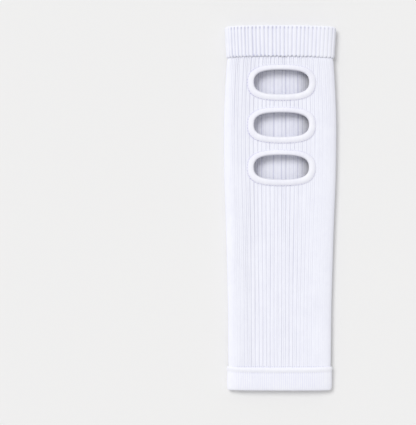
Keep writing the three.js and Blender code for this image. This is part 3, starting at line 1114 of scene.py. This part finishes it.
def knitted_loops(tree, ribs, length):
    """The height of the loops: two slanting legs in each wale, course after course."""
    leg = compute(tree, "PINGPONG", compute(tree, "MULTIPLY", ribs, WALES_PER_RIB), 0.5)
    course = compute(tree, "MULTIPLY_ADD", length, COURSES_PER_MM, leg)
    courses = compute(tree, "SINE", compute(tree, "MULTIPLY", course, 2 * math.pi))
    legs = compute(tree, "SINE", compute(tree, "MULTIPLY", leg, 2 * math.pi))
    return compute(tree, "MULTIPLY_ADD", courses, COURSE_RELIEF, legs)


def knit_bump(tree, knit, place, lines, loops):
    """The bump of the loops, the lines and the fuzz."""
    pressed = compute(tree, "MULTIPLY", lines, -knit.relief)
    height = compute(tree, "MULTIPLY_ADD", loops, LOOP_RELIEF, pressed)
    height = compute(tree, "MULTIPLY_ADD", noise(tree, place, FUZZ), FUZZ_RELIEF, height)
    bump = add(tree, "ShaderNodeBump", {"Height": height, "Strength": BUMP_STRENGTH, "Distance": MM})
    return bump.outputs["Normal"]


def knit_colour(tree, knit, place, lines):
    """The colour: painted shade in the lines, darker in random soft patches, and mixed towards the deep
    tone where the piece's dim says.
    """
    along = add(tree, "ShaderNodeMapping", {"Vector": place, "Scale": PATCH_STRETCH}).outputs[0]
    shade_and_tone = compute(tree, "MULTIPLY_ADD", noise(tree, along, PATCHES), PATCH_TONE, lines)
    shade_and_tone = compute(tree, "MULTIPLY_ADD", noise(tree, place, CLOUDS), CLOUD_TONE, shade_and_tone)
    limits = {"From Min": SHADE_RANGE.start, "From Max": SHADE_RANGE.full}
    share = add(tree, "ShaderNodeMapRange", {"Value": shade_and_tone, **limits}).outputs["Result"]
    colour = mixed(tree, share, (*knit.crest, 1), knit.groove)
    return mixed(tree, kept_value(tree, "dim"), colour, knit.deep)


def knit_finish(knit):
    """Knitting on the piece's own UV map: lines between and along the ribs, loops and stray fibres."""
    finish = bpy.data.materials.new(knit.name)
    finish.use_nodes = True
    tree = finish.node_tree
    tree.nodes.clear()
    cloth_map = add(tree, "ShaderNodeUVMap", uv_map="UVMap").outputs["UV"]
    split = add(tree, "ShaderNodeSeparateXYZ", {"Vector": cloth_map})
    ribs, length = split.outputs["X"], split.outputs["Y"]
    place = add(tree, "ShaderNodeTexCoord").outputs["Object"]
    lines = rib_lines(tree, ribs, knit)
    inputs = {
        "Base Color": knit_colour(tree, knit, place, lines),
        "Roughness": ROUGHNESS,
        "Sheen Weight": 0.15,
        "Sheen Roughness": 0.4,
        "Specular IOR Level": 0.2,
        "Normal": knit_bump(tree, knit, place, lines, knitted_loops(tree, ribs, length)),
    }
    surface = add(tree, "ShaderNodeBsdfPrincipled", inputs)
    add(tree, "ShaderNodeOutputMaterial", {"Surface": surface.outputs["BSDF"]})
    return finish


def plain_finish(name, colour):
    """One matt colour."""
    finish = bpy.data.materials.new(name)
    finish.use_nodes = True
    surface = finish.node_tree.nodes["Principled BSDF"]
    surface.inputs["Base Color"].default_value = (*colour, 1)
    surface.inputs["Roughness"].default_value = ROUGHNESS
    return finish


FINISHES = {knit.name: knit_finish(knit) for knit in (RIB_KNIT, WELT_KNIT, HEM_KNIT, TAPE_KNIT)}
SMOOTH_ANGLE = 60  # degrees under which two faces meet smoothly


def dress(piece, slot, *nodes):
    """Gives a finished piece the material of its slot and its body, and hides the frame's nodes it stands
    for.
    """
    piece.data.materials.clear()
    piece.data.materials.append(FINISHES[slot])
    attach(piece, "root")
    if nodes:
        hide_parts(*nodes)
    pick(piece)
    bpy.ops.object.shade_smooth_by_angle(angle=math.radians(SMOOTH_ANGLE))


# The whole sleeve

body = knit_body()
body_surface = BVHTree.FromObject(body, bpy.context.evaluated_depsgraph_get())
rib_the_body(body)
apply_modifier(body, "SOLIDIFY", thickness=BODY_WALL * MM, offset=-1)
tone_the_inside(body)
cut_windows(body)
dress(body, "rib_knit", "knit_body")
dress(top_welt(), "welt_knit", "top_welt")
dress(hem_band(), "hem_knit", "hem_band")
for number, window in enumerate(WINDOWS, 1):
    dress(window_tape(number, window, body_surface), "binding_knit", window.node)
    dress(seam_stitches(number, window, body_surface), "binding_knit")

# Floor and lights

FLOOR_SIZE = 6  # metres
FLOOR_COLOUR = (0.855, 0.852, 0.850)
DAYLIGHT = 0.61
SUN_TILT = (-24, -22)  # degrees about X and Y: the light comes from the upper left
SUN_STRENGTH = 1.5
SUN_SPREAD = 26  # degrees

bpy.ops.object.select_all(action="DESELECT")
bpy.ops.mesh.primitive_plane_add(size=FLOOR_SIZE)
floor = bpy.context.object
floor.name = "floor"
floor.data.materials.append(plain_finish("pale_floor", FLOOR_COLOUR))

world = bpy.data.worlds.new("soft_daylight")
bpy.context.scene.world = world
world.use_nodes = True
world.node_tree.nodes["Background"].inputs["Color"].default_value = (1.0, 1.0, 1.0, 1)
world.node_tree.nodes["Background"].inputs["Strength"].default_value = DAYLIGHT

bpy.ops.object.light_add(type="SUN", rotation=(*(math.radians(tilt) for tilt in SUN_TILT), 0))
window_light = bpy.context.object
window_light.data.energy = SUN_STRENGTH
window_light.data.angle = math.radians(SUN_SPREAD)

# Camera

PIXEL = 0.9  # what one of the photo's pixels covers on the sleeve
PHOTO_HEIGHT = 425  # in pixels
CAMERA_HEIGHT = 1400
SLEEVE_ACROSS = 72.05  # the sleeve's middle, in pixels from the photo's, to the right
SLEEVE_UP = 4.5  # and upwards
SHARP_HEIGHT = 9.5  # the height over the floor at which a pixel covers that much
TURN = 0.002  # how far the sleeve is turned in the photo, in radians
SENSOR = 36  # spans the picture's longer side

bpy.ops.object.camera_add(
    location=(-SLEEVE_ACROSS * PIXEL * MM, -SLEEVE_UP * PIXEL * MM, CAMERA_HEIGHT * MM),
    rotation=(0, 0, TURN),
)
camera = bpy.context.object
camera.data.sensor_width = SENSOR
camera.data.lens = SENSOR * (CAMERA_HEIGHT - SHARP_HEIGHT) / (PHOTO_HEIGHT * PIXEL)
bpy.context.scene.camera = camera
bpy.context.scene.view_settings.view_transform = "Standard"
